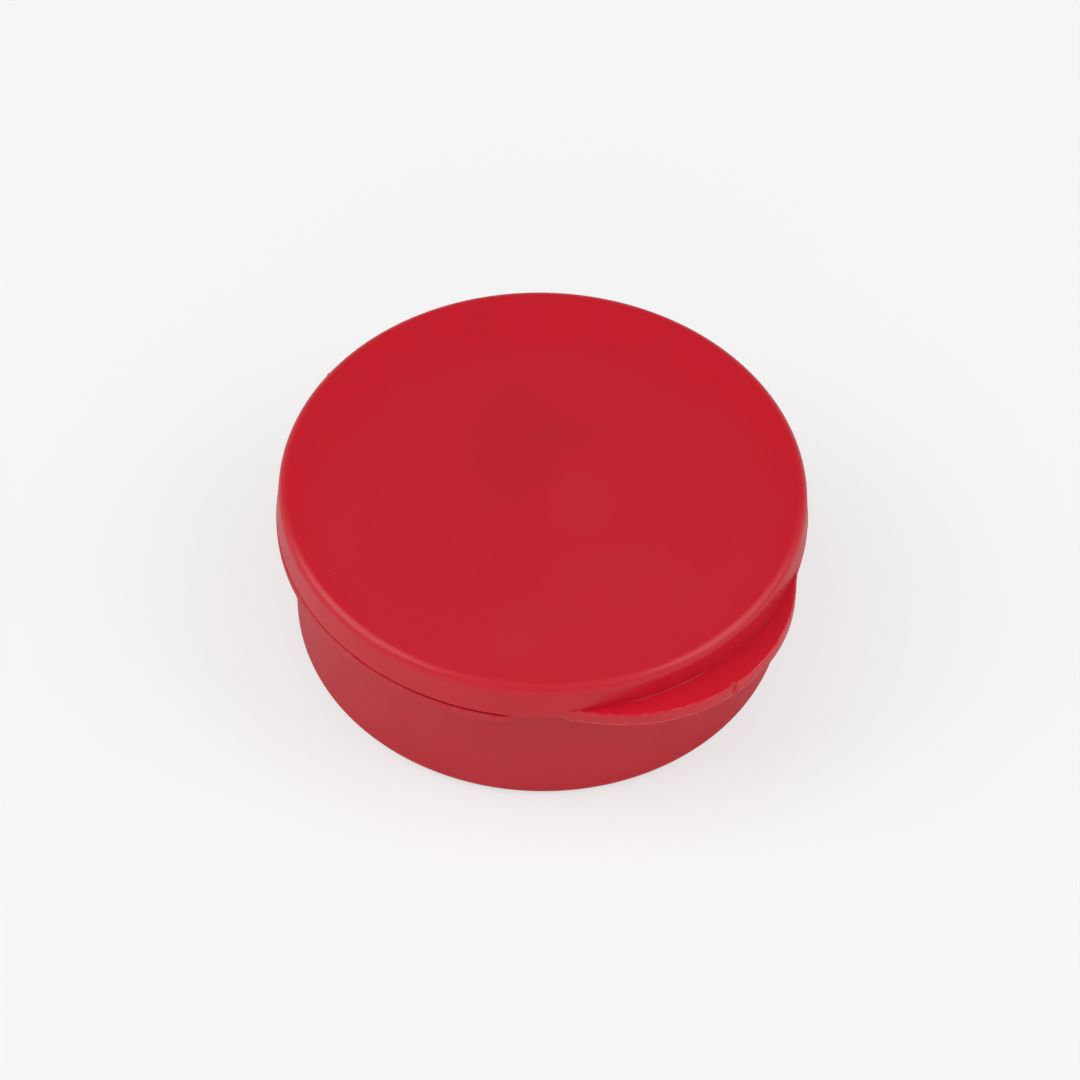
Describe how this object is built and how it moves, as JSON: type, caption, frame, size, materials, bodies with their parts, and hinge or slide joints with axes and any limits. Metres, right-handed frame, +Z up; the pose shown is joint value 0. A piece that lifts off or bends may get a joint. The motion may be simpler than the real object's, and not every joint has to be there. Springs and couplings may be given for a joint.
{
  "type": "round flip-top box",
  "caption": "Small round snap-shut plastic box with a shallow hinged lid, a crescent thumb tab opposite the hinge and a smooth cup-shaped base.",
  "frame": {"origin": "centre of the base's flat underside, on the cup's axis", "axes": "+Z up through the lid, +Y towards the hinge, -Y towards the thumb tab"},
  "size_m": [0.0406, 0.0435, 0.0145],
  "materials": {
    "base_polypropylene": "satin",
    "lid_polypropylene": "satin",
    "web_polypropylene": "satin"
  },
  "bodies": {
    "base": {"base_cup": "base_polypropylene", "base_flange": "base_polypropylene", "snap_bead": "base_polypropylene", "base_hinge_leaf": "base_polypropylene", "hinge_web": "web_polypropylene"},
    "lid": {"lid_shell": "lid_polypropylene", "thumb_tab": "lid_polypropylene", "lid_hinge_leaf": "lid_polypropylene"}
  },
  "joints": [
    {"name": "lid_hinge", "type": "hinge", "parent": "base", "child": "lid", "pos_m": [0, 0.0207, 0.01127], "axis": [-1, 0, 0], "range_deg": [0, 175], "deforming": ["hinge_web"]}
  ]
}
